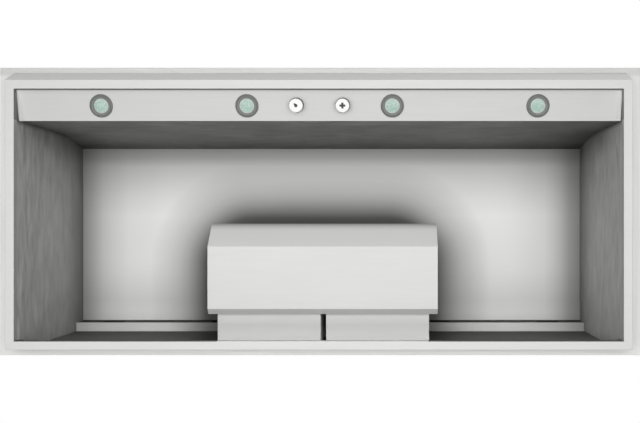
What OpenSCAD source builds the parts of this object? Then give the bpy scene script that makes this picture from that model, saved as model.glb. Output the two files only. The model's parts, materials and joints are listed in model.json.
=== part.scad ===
// Wall mount range hood with two blowers, four lamps and a sliding grease tray.
// X runs along the wall, the wall is the plane Y = 0, the front faces -Y and +Z is up.
// The origin is the middle of the wall fixings, on the back of the hood.

/* [Hood] */
// Overall width
hood_w = 1524; // [1420:1:1830]
// Depth from the wall to the front
hood_d = 683; // [675:1:760]
// Overall height
hood_h = 457; // [440:1:520]
// How far the upper front leans back
slope_run = 123; // [80:1:130]
// Height of the upright lower front
fascia_h = 96; // [60:1:160]
// Thickness of the outer sheets
shell_t = 1.5; // [1:0.1:2]

/* [Rim] */
// Height of the rim below the ledge
rim_h = 51; // [40:1:60]
// Width of the flat rim face
rim_w = 20.2; // [16:0.1:24]
// Width of the ledge at each side
side_ledge = 35; // [30:0.5:40]
// Width of the ledge in front
front_ledge = 13.1; // [8:0.1:20]
// Width of the ledge at the wall
rear_ledge = 19.8; // [17:0.1:24]
// How far the front of the rim leans forward
rim_lean = 24.7; // [10:0.1:30]
// Height of the inner lip of the rim
rim_lip = 16; // [10:0.5:20]

/* [Liner] */
// Thickness of the inner sheets
liner_t = 1.2; // [0.8:0.1:1.5]
// Distance of the rear liner from the wall
liner_gap = 15; // [12:0.5:16.5]
// How far the top of the front liner leans back
liner_lean = 25.6; // [0:0.1:40]
// Height of the leaning top of the front liner
lean_h = 140; // [80:5:200]

/* [Light panel] */
// Depth of the slanted panel, measured level
panel_run = 72.5; // [68:0.5:90]
// Rise of the slanted panel
panel_rise = 16; // [8:0.5:24]
// Distance of the inner lamps from the middle
lamp_inner_x = 170.5; // [120:0.5:260]
// Distance of the outer lamps from the middle
lamp_outer_x = 512; // [380:0.5:620]
// Outer diameter of a lamp bezel
bezel_d = 55; // [50:0.5:60]
// Visible diameter of a lamp lens
lens_d = 36.6; // [30:0.1:40]
// Diameter of a lamp housing
can_d = 48; // [44:0.5:52]
// Height of a lamp housing
can_h = 40; // [30:1:48]
// Distance of the lamps behind the middle of the panel
lamp_back = 1.8; // [0:0.1:4]
// Distance of each knob from the middle
knob_x = 54.2; // [40:0.1:80]
// Diameter of a knob
knob_d = 36; // [30:0.5:40]
// Height of a knob
knob_h = 15; // [10:0.5:20]
// Diameter of a knob stem
stem_d = 8; // [6:0.1:10]
// Width of a rotary switch
switch_w = 30; // [26:1:36]
// Height of a rotary switch
switch_h = 22; // [18:1:30]

/* [Blowers] */
// Gap between the two blower boxes
box_gap = 13; // [6:0.5:20]
// Width of one blower box
box_w = 256.5; // [250:0.5:270]
// Height of the box underside above the rim
box_z = 143; // [138:1:150]
// Distance of the box front from the wall
box_front = 300; // [296:1:306]
// Height of the fan axis above the rim
axis_z = 290; // [288:1:300]
// Distance of the fan axis from the wall
axis_y = 186; // [182:1:188]
// Smallest radius of the scroll
scroll_r0 = 97; // [96:0.5:99]
// Largest radius of the scroll
scroll_r1 = 122; // [118:0.5:124]
// Diameter of the fan wheel
wheel_d = 176; // [160:1:182]
// Distance from the motor to the wheel
wheel_back = 22.3; // [18:0.1:40]
// Distance from the wheel to the inlet side of the box
wheel_front = 27; // [20:0.5:40]
// Number of blades on a wheel
blades = 32; // [20:1:40]
// Bore diameter of the inlet mouth
inlet_d = 156; // [130:1:160]
// How far the inlet mouth flares out
mouth_flare = 8; // [4:0.5:10]
// Reach of the inlet flange past the bore
mouth_flange = 18; // [14:0.5:20]
// Diameter of the motor
motor_d = 84; // [70:1:95]
// Length of the motor
motor_l = 82; // [60:1:84]
// Diameter of the motor shaft
shaft_d = 8; // [6:0.1:12]

/* [Grease tray] */
// How far the tray reaches past each blower box
tray_reach = 20; // [18:0.5:26]
// Height of the tray floor above the rim
tray_z = 118; // [112:0.5:120]
// Distance of the tray front from the wall
tray_front = 313.4; // [310:0.1:320]
// Distance of the tray back from the wall
tray_rear = 89.9; // [80:0.1:100]
// Rise of the chamfer in front
chamfer_rise = 54; // [40:0.5:55]
// Run of the chamfer in front
chamfer_run = 57; // [40:0.5:70]
// Rise of the bevel behind
bevel_rise = 11; // [6:0.5:13]
// Run of the bevel behind
bevel_run = 13.5; // [8:0.5:20]
// Height of the tray sides above the floor
tray_h = 64; // [60:0.5:66]
// Width of the slide flanges
flange_w = 14; // [12:0.5:16]

/* [Outlets and supply] */
// Outer diameter of a duct collar
collar_d = 177; // [150:0.5:180]
// Height of a duct collar
collar_h = 48; // [35:1:60]
// Wall of a duct collar
collar_t = 1.2; // [0.8:0.1:1.5]
// Diameter of a damper pin
pin_d = 5; // [4:0.1:6]
// Distance of the damper pin from the edge of the bore
pin_edge = 29.3; // [26:0.1:36]
// Distance of the supply entry from the wall
supply_y = 300; // [200:1:400]
// Bore of the cable gland
gland_bore = 12; // [8:0.5:14]

/* [Wall fixings] */
// Height of the wall rail
rail_h = 54.5; // [45:0.5:60]
// Depth of the wall rail
rail_d = 38.2; // [34:0.1:45]
// Thickness of the wall rail
rail_t = 2.5; // [2:0.1:3]
// Distance of the outer fixings from the middle
fix_outer_x = 609.6; // [560:0.1:640]
// Distance of the inner fixings from the middle
fix_inner_x = 304.8; // [304.8:0.1:460]
// Diameter of a fixing hole
fix_d = 8.4; // [6:0.1:10]
// Width of the gap in the rail's front lip at each fixing
access_w = 60; // [30:1:80]

/* [Hidden] */
$fn = 64;

// Small clearances, cutting allowances and a full turn
run_fit = 0.05;
seat_gap = 0.3;
over = 1;
full_turn = 360;

// Levels, all measured from the wall fixings
z_rim = -(hood_h - shell_t - rail_h / 2);
z_ledge = z_rim + rim_h;
z_top = z_rim + hood_h;
z_ceiling = z_top - shell_t;
z_fascia = z_ledge + fascia_h;
z_rail = z_ceiling - rail_h;
z_lean = z_ceiling - lean_h;

// Places across the hood
x_side = hood_w / 2;
x_rim = x_side - side_ledge;
x_lip = x_rim - rim_w;
x_liner = x_lip + shell_t;

fix_places = [-fix_outer_x, -fix_inner_x, fix_inner_x, fix_outer_x];

// Places in front of the wall
y_front = -hood_d;
top_d = hood_d - slope_run;
y_ledge = y_front + front_ledge;
y_rim = y_ledge + rim_lean;
y_lip = y_rim + rim_w;
y_rear_rim = -rear_ledge;
y_rear_lip = y_rear_rim - rim_w;
y_liner = -liner_gap;
front_lean = atan(slope_run / (z_top - z_fascia));
slope_t = shell_t / cos(front_lean);
rim_lean_t = shell_t * sqrt(rim_lean * rim_lean + rim_h * rim_h) / rim_h;

// Slanted light panel: its rear edge, its middle and its tilt
panel_tilt = atan(panel_rise / panel_run);
y_panel0 = y_lip - shell_t;
y_panel1 = y_panel0 + panel_run;
z_panel0 = z_rim + rim_lip;
z_panel1 = z_panel0 + panel_rise;
panel_mid = [(y_panel0 + y_panel1) / 2, (z_panel0 + z_panel1) / 2];
panel_up = shell_t / cos(panel_tilt);
panel_end_gap = 0.3;

// Lamp: the lip holds the lens and the sleeve passes the panel
lamp_places = [-lamp_outer_x, -lamp_inner_x, lamp_inner_x, lamp_outer_x];
lens_r = lens_d / 2;
lens_edge = 1.4;
lens_t = 2.6;
bezel_proud = 2.6;
bezel_edge = 1.6;
bezel_ease = 0.7;
sleeve_t = 1.4;
sleeve_h = 10;
lip_t = 2;
sleeve_r = lens_r + lens_edge + sleeve_t;
can_t = 1.2;
source_h = 9;
source_r = can_d / 3;

// Knob: its edge radius, its gap to the panel and the stem's length
knob_edge = 2.5;
knob_gap = 0.8;
stem_in = 16;
mark_t = 0.4;
pointer_w = 5.6;
pointer_base = 4.6;
pointer_l = 6.4;
pointer_turn = 50;
plus_w = 12;
plus_bar = 3;
cap_h = 4;

// Blower box
box_t = 1.2;
x_box0 = box_gap / 2;
x_box1 = x_box0 + box_w;
z_box = z_rim + box_z;
y_box = -box_front;
y_rail = -shell_t - rail_d;
y_step = y_rail - seat_gap;
z_step = z_rail - seat_gap;

// Scroll: turns from the tongue at this angle round to the outlet
tongue = 100;
scroll_end = full_turn;
scroll_step = 6;
fan_y = -axis_y;
fan_z = z_rim + axis_z;
y_neck0 = fan_y + scroll_r0 * cos(tongue);
y_neck1 = fan_y + scroll_r1;
wheel_gap = 2;
scroll_back = 9;
plate_w = 112;
plate_t = 2;
x_motor0 = x_box0 + box_t + plate_t;
x_motor1 = x_motor0 + motor_l;
x_wheel0 = x_motor1 + wheel_back;
x_wheel1 = x_box1 - wheel_front;
wheel_w = x_wheel1 - x_wheel0;
x_scroll1 = x_wheel1 + wheel_gap + box_t;
x_scroll0 = x_wheel0 - scroll_back;
blade_t = 1;
blade_chord = 16;
blade_angle = 25;
blade_edge = 1;
hub_d = 24;
hub_l = 22;
disc_z = 7.3;
ring_w = 4;
ring_t = 3;
shaft_hole = 20;
inlet_r = inlet_d / 2;
clamp_l = 30;
clamp_t = 3;
bearing_l = 30;
nose_d = 34;
nose_l = 6;

// How far the inner corner of a 45 degree bend moves along, as a share of the sheet
bend = tan(22.5);

// Grease tray and its rails
z_tray = z_rim + tray_z;
y_tray0 = -tray_front;
y_tray1 = -tray_rear;
x_tray = x_box1 + tray_reach;
z_flange = z_tray + tray_h - shell_t;
tray_clear = 6;
y_box_cut = y_tray0 + chamfer_run - (z_box - z_tray) * chamfer_run / chamfer_rise + tray_clear;
z_box_cut = z_tray + (y_tray0 + chamfer_run + tray_clear - y_box) * chamfer_rise / chamfer_run;
rear_lip_h = 12;
rail_leg = 14;
x_leg = x_tray - shell_t - seat_gap;
z_leg = z_flange - seat_gap;

// Outlets: one over the neck of each scroll
x_outlet = (x_scroll0 + x_scroll1) / 2;
y_outlet = (y_neck0 + y_neck1) / 2;
collar_r = collar_d / 2;
bore_r = collar_r - collar_t;
collar_flange = 17;
pin_y = bore_r - pin_edge;
pin_z = 4.2;
ear_t = 1.5;
ear_r = 3.6;
ear_x = sqrt(pow(bore_r - ear_r, 2) - pow(pin_y + ear_r, 2));
flap_t = 1;
flap_z = 1.7;
flap_gap = 1.1;
flap_swing = 75;
stop_lap = 3;

// Largest flap that clears the bore all the way of its swing about the pin
swing_share = (1 - cos(flap_swing)) / (1 + cos(flap_swing));
flap_r = sqrt(bore_r * bore_r - pin_y * pin_y * swing_share) - flap_gap;
stop_r = flap_r - stop_lap;

// Screws of a collar
screw_n = 6;
screw_r = collar_r + 11.5;
screw_d = 4;
screw_head_d = 8;
screw_head_h = 2.4;

// Supply: box and gland between the right side panel and the right liner
x_supply = (x_liner + liner_t + x_side - shell_t) / 2;
supply_w = 40;
supply_l = 120;
supply_h = 80;
supply_t = 1.2;
gland_r = gland_bore / 2 + 4;
gland_nut_d = 30;
gland_nut_h = 6;
gland_cap_h = 14;
gland_cap_r = gland_r + 1;
gland_in = 12;

// Colours
steel = "#dededc";
ledge_steel = "#d3d4d1";
liner_steel = "#8c8c8a";
zinc = "#a9a9a7";
grey = "#7a7e79";
lens_tint = "#b8cfc6";

// Draws the right-hand piece, or its mirror image on the left
module side(s) {
  mirror([s < 0 ? 1 : 0, 0, 0])
    children();
}

// Turns an outline drawn as [Y, Z] into a slab from x0 to x1
module slab(x0, x1, points) {
  translate([x0, 0, 0])
    rotate([90, 0, 90])
      linear_extrude(height = x1 - x0)
        polygon(points);
}

// Puts its children on the slanted panel, with Z = 0 on the visible face and +Z into the hood
module on_panel(x, back = 0) {
  translate([x, panel_mid[0], panel_mid[1]])
    rotate([panel_tilt, 0, 0])
      translate([0, back, 0])
        children();
}

// Turns a shape about the fan axis, with its own +Z along +X
module on_axis(x) {
  translate([x, fan_y, fan_z])
    rotate([0, 90, 0])
      children();
}

// A plain box given by its two corners
module block(a, b) {
  translate(a)
    cube(b - a);
}

module top_panel() {
  color(steel)
    difference() {
      block([-x_side + shell_t, -top_d + slope_t, z_ceiling], [x_side - shell_t, 0, z_top]);
      for (s = [-1, 1])
        translate([s * x_outlet, y_outlet, z_ceiling - over])
          cylinder(h = shell_t + 2 * over, r = bore_r);
      translate([x_supply, -supply_y, z_ceiling - over])
        cylinder(h = shell_t + 2 * over, r = gland_r);
    }
}

module back_panel() {
  color(ledge_steel)
    difference() {
      union() {
        block([-x_side + shell_t, -shell_t, z_ledge + shell_t], [x_side - shell_t, 0, z_ceiling]);
        block([-x_rim, y_rear_rim, z_ledge], [x_rim, 0, z_ledge + shell_t]);
      }
      wall_holes(fix_d, -shell_t - over, over);
    }
}

// The four wall fixing holes, from y0 to y1
module wall_holes(d, y0, y1) {
  for (x = fix_places)
    translate([x, y1, 0])
      rotate([90, 0, 0])
        cylinder(h = y1 - y0, d = d);
}

module side_panel(s) {
  color(ledge_steel)
    side(s) {
      slab(x_side - shell_t, x_side, [
        [0, z_ledge], [0, z_top], [-top_d, z_top], [y_front, z_fascia], [y_front, z_ledge]
      ]);
      block([x_rim, y_front, z_ledge], [x_side, 0, z_ledge + shell_t]);
    }
}

module front_fascia() {
  color(ledge_steel) {
    block([-x_side + shell_t, y_front, z_ledge + shell_t], [x_side - shell_t, y_front + shell_t, z_fascia]);
    block([-x_rim, y_front, z_ledge], [x_rim, y_ledge, z_ledge + shell_t]);
  }
}

module front_panel() {
  color(steel)
    slab(-x_side + shell_t, x_side - shell_t, [
      [y_front, z_fascia], [-top_d, z_top], [-top_d + slope_t, z_top], [y_front + slope_t, z_fascia]
    ]);
}

// Flat face of the rim at the front, cut at 45 degrees where it meets the side rails
function rim_face_front() = [
  [-x_rim + shell_t, y_rim], [x_rim - shell_t, y_rim], [x_rim - shell_t, y_rim + shell_t],
  [x_lip, y_lip], [-x_lip, y_lip], [-x_rim + shell_t, y_rim + shell_t]
];

module rim_front() {
  color(steel) {
    slab(-x_rim + shell_t, x_rim - shell_t, [
      [y_ledge, z_ledge + shell_t], [y_ledge, z_ledge], [y_rim, z_rim],
      [y_rim + rim_lean_t, z_rim], [y_ledge + rim_lean_t, z_ledge],
      [y_ledge + rim_lean_t, z_ledge + shell_t]
    ]);
    translate([0, 0, z_rim])
      linear_extrude(height = shell_t)
        polygon(rim_face_front());
    block([-x_liner, y_lip - shell_t, z_rim + shell_t], [x_liner, y_lip, z_panel0]);
  }
}

module rim_rear() {
  color(steel) {
    block([-x_rim + shell_t, y_rear_rim - shell_t, z_rim], [x_rim - shell_t, y_rear_rim, z_ledge + shell_t]);
    translate([0, 0, z_rim])
      linear_extrude(height = shell_t)
        polygon([
          [-x_rim + shell_t, y_rear_rim], [x_rim - shell_t, y_rear_rim],
          [x_rim - shell_t, y_rear_rim - shell_t], [x_lip, y_rear_lip],
          [-x_lip, y_rear_lip], [-x_rim + shell_t, y_rear_rim - shell_t]
        ]);
    block([-x_liner, y_rear_lip, z_rim + shell_t], [x_liner, y_rear_lip + shell_t, z_panel0]);
  }
}

module rim_side(s) {
  color(steel)
    side(s) {
      slab(x_rim - shell_t, x_rim, [
        [y_rear_rim, z_rim], [y_rim, z_rim], [y_ledge, z_ledge],
        [y_ledge, z_ledge + shell_t], [y_rear_rim, z_ledge + shell_t]
      ]);
      translate([0, 0, z_rim])
        linear_extrude(height = shell_t)
          polygon([[x_rim, y_rear_rim], [x_rim, y_rim], [x_lip, y_lip], [x_lip, y_rear_lip]]);
      block([x_lip, y_lip, z_rim + shell_t], [x_lip + shell_t, y_rear_lip, z_panel0]);
    }
}

module liner_side(s) {
  color(liner_steel)
    side(s)
      slab(x_liner, x_liner + liner_t, [
        [y_liner, z_ledge + shell_t], [y_liner, z_rail], [y_rail, z_rail], [y_rail, z_ceiling],
        [y_panel1 + liner_lean, z_ceiling], [y_panel1, z_lean], [y_panel1, z_panel1], [y_panel0, z_panel0],
        [y_panel0, z_rim + shell_t], [y_rear_lip + shell_t, z_rim + shell_t],
        [y_rear_lip + shell_t, z_ledge + shell_t]
      ]);
}

module liner_rear() {
  color(liner_steel)
    block([-x_liner, y_liner, z_ledge + shell_t], [x_liner, y_liner + liner_t, z_rail]);
}

module liner_front() {
  z0 = z_panel1 + panel_up;
  color(liner_steel)
    slab(-x_liner, x_liner, [
      [y_panel1, z0], [y_panel1, z_lean], [y_panel1 + liner_lean, z_ceiling],
      [y_panel1 + liner_lean - liner_t, z_ceiling], [y_panel1 - liner_t, z_lean], [y_panel1 - liner_t, z0]
    ]);
}

// Rail across the top of the rear wall, which carries the hood: its back plate
module wall_rail() {
  color(zinc)
    difference() {
      block([-x_liner, -shell_t - rail_t, z_rail + rail_t], [x_liner, -shell_t, z_ceiling]);
      wall_holes(fix_d, -shell_t - rail_t - over, over);
    }
}

// Floor of the rail
module rail_floor() {
  color(zinc)
    block([-x_liner, y_rail, z_rail], [x_liner, -shell_t, z_rail + rail_t]);
}

// Front lips of the rail, with a gap at each fixing for a screw and its driver
module rail_front() {
  edges = concat(-x_liner, [for (x = fix_places) each [x - access_w / 2, x + access_w / 2]], x_liner);
  color(zinc)
    for (i = [0:2:len(edges) - 2])
      block([edges[i], y_rail, z_rail + rail_t], [edges[i + 1], y_rail + rail_t, z_ceiling]);
}

module light_panel() {
  color(ledge_steel)
    difference() {
      slab(-x_liner + panel_end_gap, x_liner - panel_end_gap, [
        [y_panel0, z_panel0], [y_panel1, z_panel1],
        [y_panel1, z_panel1 + panel_up], [y_panel0, z_panel0 + panel_up]
      ]);
      for (x = lamp_places)
        on_panel(x, lamp_back)
          translate([0, 0, -over])
            cylinder(h = shell_t + 2 * over, r = sleeve_r + run_fit);
      for (x = [-knob_x, knob_x])
        on_panel(x)
          translate([0, 0, -over])
            cylinder(h = shell_t + 2 * over, d = stem_d + 2 * seat_gap);
    }
}

module lamp_bezel(i) {
  color(grey)
    on_panel(lamp_places[i], lamp_back)
      rotate_extrude()
        polygon([
          [lens_r, -bezel_proud + bezel_ease], [lens_r + bezel_ease, -bezel_proud],
          [bezel_d / 2 - bezel_edge, -bezel_proud], [bezel_d / 2, -bezel_proud + bezel_edge],
          [bezel_d / 2, 0], [sleeve_r, 0], [sleeve_r, sleeve_h], [sleeve_r - sleeve_t, sleeve_h],
          [sleeve_r - sleeve_t, -bezel_proud + lip_t], [lens_r, -bezel_proud + lip_t]
        ]);
}

module lamp_lens(i) {
  color(lens_tint)
    on_panel(lamp_places[i], lamp_back)
      translate([0, 0, -bezel_proud + lip_t])
        cylinder(h = lens_t, r = sleeve_r - sleeve_t - run_fit);
}

// Housing of a lamp, open towards the lens, with the light source as a disc inside its lid
module lamp_can(i) {
  color(zinc)
    on_panel(lamp_places[i], lamp_back)
      translate([0, 0, shell_t])
        rotate_extrude()
          polygon([
            [can_d / 2 - can_t, 0], [can_d / 2, 0], [can_d / 2, can_h], [0, can_h],
            [0, can_h - can_t - source_h], [source_r, can_h - can_t - source_h],
            [source_r, can_h - can_t], [can_d / 2 - can_t, can_h - can_t]
          ]);
}

// Round knob with a stem that turns in its switch
module knob(x) {
  r = knob_d / 2;
  color("#f4f4f2")
    on_panel(x) {
      rotate_extrude()
        polygon([
          [0, -knob_gap - knob_h],
          for (a = [0:15:90])
            [r - knob_edge + knob_edge * sin(a), -knob_gap - knob_h + knob_edge * (1 - cos(a))],
          [r, -knob_gap], [0, -knob_gap]
        ]);
      translate([0, 0, -knob_gap - over])
        cylinder(h = stem_in + knob_gap + over, d = stem_d);
    }
}

module fan_knob() {
  knob(-knob_x);
}

module light_knob() {
  knob(knob_x);
}

// Mark of the fan knob: a drop that points to the front and left
module fan_knob_mark() {
  color("#202020")
    on_panel(-knob_x)
      translate([0, 0, -knob_gap - knob_h - mark_t])
        rotate([0, 0, pointer_turn]) {
          cylinder(h = mark_t, d = pointer_w);
          linear_extrude(height = mark_t)
            polygon([[0, pointer_base / 2], [0, -pointer_base / 2], [-pointer_l, 0]]);
        }
}

// Mark of the light knob: a plus
module light_knob_mark() {
  color("#303030")
    on_panel(knob_x)
      translate([0, 0, -knob_gap - knob_h - mark_t])
        linear_extrude(height = mark_t) {
          square([plus_w, plus_bar], center = true);
          square([plus_bar, plus_w], center = true);
        }
}

module switch_body(x) {
  color(grey)
    on_panel(x)
      difference() {
        union() {
          translate([-switch_w / 2, -switch_w / 2, shell_t])
            cube([switch_w, switch_w, switch_h]);
          translate([0, 0, shell_t + switch_h])
            cylinder(h = cap_h, d = switch_w / 2);
        }
        translate([0, 0, shell_t - over])
          cylinder(h = stem_in - shell_t + over + seat_gap, d = stem_d + 2 * run_fit);
      }
}

module fan_switch() {
  switch_body(-knob_x);
}

module light_switch() {
  switch_body(knob_x);
}

// Outline of a blower box as [Y, Z], shrunk by g; the top is open, so it grows there
function box_outline(g) = [
  [y_box + g, z_box_cut + g * bend], [y_box_cut + g * bend, z_box + g],
  [y_liner - g, z_box + g], [y_liner - g, z_step - g],
  [y_step - g, z_step - g], [y_step - g, z_ceiling + g], [y_box + g, z_ceiling + g]
];

// Casing of one blower, cut back above the tray's chamfer and stepped below the wall rail
module blower_box(s) {
  color("#cbcbc8")
    side(s)
      difference() {
        slab(x_box0, x_box1, box_outline(0));
        slab(x_box0 + box_t, x_box1 - box_t, box_outline(box_t));
        on_axis(x_box1 - box_t - over)
          cylinder(h = box_t + 2 * over, r = inlet_r + mouth_flare + run_fit);
      }
}

function scroll_r(a) = scroll_r0 + (scroll_r1 - scroll_r0) * (a - tongue) / (scroll_end - tongue);

// Outline of the scroll as [Y, Z], grown by g
function scroll_outline(g) = [
  [y_neck0 - g, fan_z + scroll_r0 * sin(tongue) + g],
  for (a = [tongue + (g > 0 ? scroll_step : 0) : scroll_step : scroll_end])
    [fan_y + (scroll_r(a) + g) * cos(a), fan_z + (scroll_r(a) + g) * sin(a)],
  [y_neck1 + g, fan_z],
  [y_neck1 + g, z_ceiling],
  [y_neck0 - g, z_ceiling]
];

// Spiral housing round the wheel, open at the top and at the inlet
module scroll(s) {
  color(zinc)
    side(s)
      difference() {
        slab(x_scroll0, x_scroll1, scroll_outline(box_t));
        slab(x_scroll0 + box_t, x_scroll1 - box_t, scroll_outline(0));
        block([x_scroll0 + box_t, y_neck0, z_ceiling - over], [x_scroll1 - box_t, y_neck1, z_ceiling + over]);
        on_axis(x_scroll1 - box_t - over)
          cylinder(h = box_t + 2 * over, r = inlet_r + box_t + run_fit);
        on_axis(x_scroll0 - over)
          cylinder(h = box_t + 2 * over, d = shaft_hole);
      }
}

// Flared mouth from the outside of the box into the scroll
module inlet_ring(s) {
  depth = x_box1 - x_scroll1 + box_t;
  color(zinc)
    side(s)
      on_axis(x_box1)
        rotate_extrude()
          polygon([
            [inlet_r, -depth], [inlet_r + box_t, -depth], [inlet_r + box_t, -mouth_flare],
            [inlet_r + mouth_flare, 0], [inlet_r + mouth_flange, 0], [inlet_r + mouth_flange, box_t],
            [inlet_r + mouth_flare - box_t, box_t], [inlet_r, -mouth_flare]
          ]);
}

// Squirrel cage wheel with its hub, back plate, blades and front ring
module fan_wheel(s) {
  r = wheel_d / 2;
  color(zinc)
    side(s)
      on_axis(x_wheel0)
        difference() {
          union() {
            cylinder(h = hub_l, d = hub_d);
            translate([0, 0, disc_z])
              cylinder(h = box_t, r = r);
            for (i = [0 : blades - 1])
              rotate([0, 0, full_turn * i / blades])
                translate([r - blade_chord / 2 - blade_edge, 0, disc_z + box_t / 2])
                  rotate([0, 0, blade_angle])
                    translate([-blade_chord / 2, -blade_t / 2, 0])
                      cube([blade_chord, blade_t, wheel_w - disc_z - box_t]);
            translate([0, 0, wheel_w - ring_w])
              difference() {
                cylinder(h = ring_w, r = r);
                translate([0, 0, -over])
                  cylinder(h = ring_w + 2 * over, r = r - ring_t);
              }
          }
          translate([0, 0, -over])
            cylinder(h = hub_l + 2 * over, d = shaft_d + 2 * run_fit);
        }
}

module motor_shaft(s) {
  color("#c8c8c8")
    side(s)
      on_axis(x_motor1 - bearing_l + over)
        cylinder(h = x_wheel0 + hub_l - x_motor1 + bearing_l - over, d = shaft_d);
}

module motor(s) {
  color("#8a8c8e")
    side(s)
      on_axis(x_motor0)
        difference() {
          union() {
            cylinder(h = motor_l - nose_l, d = motor_d);
            cylinder(h = motor_l, d = nose_d);
          }
          translate([0, 0, motor_l - bearing_l])
            cylinder(h = bearing_l + over, d = shaft_d + 2 * run_fit);
        }
}

// Plate on the inner wall of the box with a ring that clamps the motor
module motor_bracket(s) {
  color(zinc)
    side(s)
      translate([x_box0 + box_t, fan_y, fan_z])
        difference() {
          union() {
            translate([0, -plate_w / 2, -plate_w / 2])
              cube([plate_t, plate_w, plate_w]);
            rotate([0, 90, 0])
              cylinder(h = plate_t + clamp_l, d = motor_d + 2 * clamp_t);
          }
          translate([plate_t, 0, 0])
            rotate([0, 90, 0])
              cylinder(h = clamp_l + over, d = motor_d + 2 * run_fit);
        }
}

// Outline of the tray floor as [Y, Z], raised by g inside the sheet
function tray_floor(g) = [
  [y_tray1 - g, z_tray + bevel_rise + g * bend],
  [y_tray1 - bevel_run - g * bend, z_tray + g],
  [y_tray0 + chamfer_run + g * bend, z_tray + g],
  [y_tray0 + g, z_tray + chamfer_rise + g * bend]
];

// Wide tray under both blowers, hung by its flanges on the two rails
module grease_tray() {
  color(steel) {
    difference() {
      slab(-x_tray, x_tray, concat(
        tray_floor(0), [[y_tray0, z_tray + tray_h], [y_tray1, z_tray + tray_h]]
      ));
      slab(-x_tray + shell_t, x_tray - shell_t, concat(
        tray_floor(shell_t), [
          [y_tray0 + shell_t, z_tray + tray_h + over], [y_tray1 - shell_t, z_tray + tray_h + over]
        ]
      ));
      block(
        [-x_tray + shell_t, y_tray1 - 2 * shell_t, z_tray + bevel_rise + rear_lip_h],
        [x_tray - shell_t, y_tray1 + over, z_tray + tray_h + over]
      );
    }
    for (s = [-1, 1])
      side(s)
        block(
          [x_tray - shell_t - flange_w, y_box, z_flange],
          [x_tray - shell_t / 2, y_tray1 - shell_t, z_flange + shell_t]
        );
  }
}

// Angle on the outer wall of a blower box; the tray's flange lies on its leg
module tray_rail(s) {
  color(zinc)
    side(s) {
      block([x_box1, y_box, z_leg - rail_leg], [x_box1 + box_t, y_tray1 - shell_t, z_leg]);
      block([x_box1, y_box, z_leg - box_t], [x_leg, y_tray1 - shell_t, z_leg]);
    }
}

// Round outlet with a base flange, an inner stop for the flap and two ears for its pin
module duct_collar(s) {
  color(zinc)
    side(s)
      translate([x_outlet, y_outlet, z_top]) {
        collar_shell();
        collar_ear(-ear_x);
        collar_ear(ear_x - ear_t);
      }
}

// Ear at x with the bore for the flap's pin
module collar_ear(x) {
  translate([x, pin_y, pin_z])
    difference() {
      union() {
        block([0, -ear_r, collar_t / 2 - pin_z], [ear_t, ear_r, 0]);
        rotate([0, 90, 0])
          cylinder(h = ear_t, r = ear_r);
      }
      translate([-over, 0, 0])
        rotate([0, 90, 0])
          cylinder(h = ear_t + 2 * over, d = pin_d + 2 * run_fit);
    }
}

// Tube, flange and stop of a collar; past the pin the stop is a full plate
module collar_shell() {
  difference() {
    union() {
      cylinder(h = collar_h, r = collar_r);
      cylinder(h = collar_t, r = collar_r + collar_flange);
    }
    translate([0, 0, collar_t])
      cylinder(h = collar_h, r = bore_r);
    difference() {
      translate([0, 0, -over])
        cylinder(h = collar_t + 2 * over, r = stop_r);
      translate([-collar_r, pin_y - pin_d / 2, -2 * over])
        cube([2 * collar_r, collar_r, collar_t + 4 * over]);
    }
    for (i = [0 : screw_n - 1])
      rotate([0, 0, full_turn * (i + 0.5) / screw_n])
        translate([screw_r, 0, -over])
          cylinder(h = collar_t + 2 * over, d = screw_d + 2 * run_fit);
  }
}

// Flap that lies on the stop and swings up on its pin
module damper(s) {
  color("#b4b6b6")
    side(s)
      translate([x_outlet, y_outlet, z_top]) {
        difference() {
          translate([0, 0, flap_z])
            cylinder(h = flap_t, r = flap_r);
          translate([-collar_r, pin_y, flap_z - over])
            cube([2 * collar_r, collar_r, flap_t + 2 * over]);
        }
        translate([-ear_x, pin_y, pin_z])
          rotate([0, 90, 0])
            cylinder(h = 2 * ear_x, d = pin_d);
      }
}

// Screws of both collars, each a shank with a round head
module collar_screws() {
  color("#d8d8d6")
    for (s = [-1, 1])
      side(s)
        translate([x_outlet, y_outlet, z_top])
          for (i = [0 : screw_n - 1])
            rotate([0, 0, full_turn * (i + 0.5) / screw_n])
              translate([screw_r, 0, 0]) {
                cylinder(h = collar_t, d = screw_d);
                translate([0, 0, collar_t])
                  cylinder(h = screw_head_h, d = screw_head_d);
              }
}

// Box under the top sheet in which the supply is joined
module junction_box() {
  wall = [supply_t, supply_t, supply_t];
  a = [x_supply - supply_w / 2, -supply_y - supply_l / 2, z_ceiling - supply_h];
  b = [x_supply + supply_w / 2, -supply_y + supply_l / 2, z_ceiling];
  color(zinc)
    difference() {
      block(a, b);
      block(a + wall, b - wall);
      translate([x_supply, -supply_y, z_ceiling - supply_t - over])
        cylinder(h = supply_t + 2 * over, r = gland_r);
    }
}

module cable_gland() {
  color("#3c3e40")
    translate([x_supply, -supply_y, 0])
      difference() {
        union() {
          translate([0, 0, z_ceiling - gland_in])
            cylinder(h = gland_in + shell_t, r = gland_r - run_fit);
          translate([0, 0, z_top])
            cylinder(h = gland_nut_h, d = gland_nut_d, $fn = 6);
          translate([0, 0, z_top + gland_nut_h])
            cylinder(h = gland_cap_h, r = gland_cap_r);
        }
        translate([0, 0, z_ceiling - gland_in - over])
          cylinder(h = gland_in + shell_t + gland_nut_h + gland_cap_h + 2 * over, d = gland_bore);
      }
}

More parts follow.
